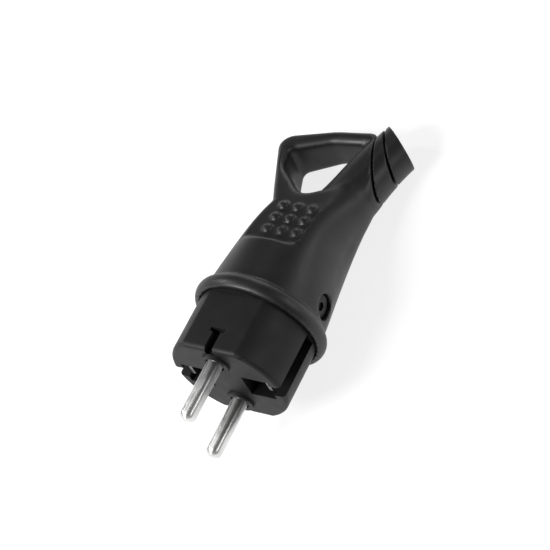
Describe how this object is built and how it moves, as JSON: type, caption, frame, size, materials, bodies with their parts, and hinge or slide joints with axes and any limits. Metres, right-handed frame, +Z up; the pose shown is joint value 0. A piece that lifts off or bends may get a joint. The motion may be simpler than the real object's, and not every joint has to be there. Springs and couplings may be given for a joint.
{
  "type": "rubber power plug with pull handle",
  "caption": "Two-pin mains plug with side earth contacts: round insert, flange ring, rubber grip with dimpled panels, a finger loop and an angled cable outlet.",
  "frame": {"origin": "centre of the bounding box in x and y, at the height of the surface that the plug lies on", "axes": "+Z up; +Y to the rear with the finger loop and the cable outlet; the pins point to -Y, raised by about 12 degrees because the plug lies on its flange ring and its rear end; +X to the side that the cable outlet bends to"},
  "size_m": [0.0436, 0.112, 0.0404],
  "materials": {
    "rubber": "matt moulded",
    "black_plastic": "matt moulded",
    "grey_plastic": "matt moulded",
    "plated_brass": "bright nickel plate",
    "plated_steel": "zinc plate",
    "black_steel": "blackened",
    "brass": "turned"
  },
  "bodies": {
    "root": {"rubber_body": "rubber", "contact_carrier": "black_plastic", "line_pin": "plated_brass", "neutral_pin": "plated_brass", "line_terminal_screw": "plated_steel", "neutral_terminal_screw": "plated_steel", "line_clamp_plate": "plated_steel", "neutral_clamp_plate": "plated_steel", "earth_bracket": "plated_steel", "earth_terminal": "brass", "earth_rivet": "brass", "earth_terminal_screw": "plated_steel", "earth_clamp_plate": "plated_steel", "terminal_cover": "grey_plastic", "cover_screw_upper": "plated_steel", "cover_screw_lower": "plated_steel", "cable_clamp": "grey_plastic", "clamp_screw_upper": "plated_steel", "clamp_screw_lower": "plated_steel", "housing_screw": "black_steel", "housing_nut": "plated_steel"}
  },
  "joints": []
}
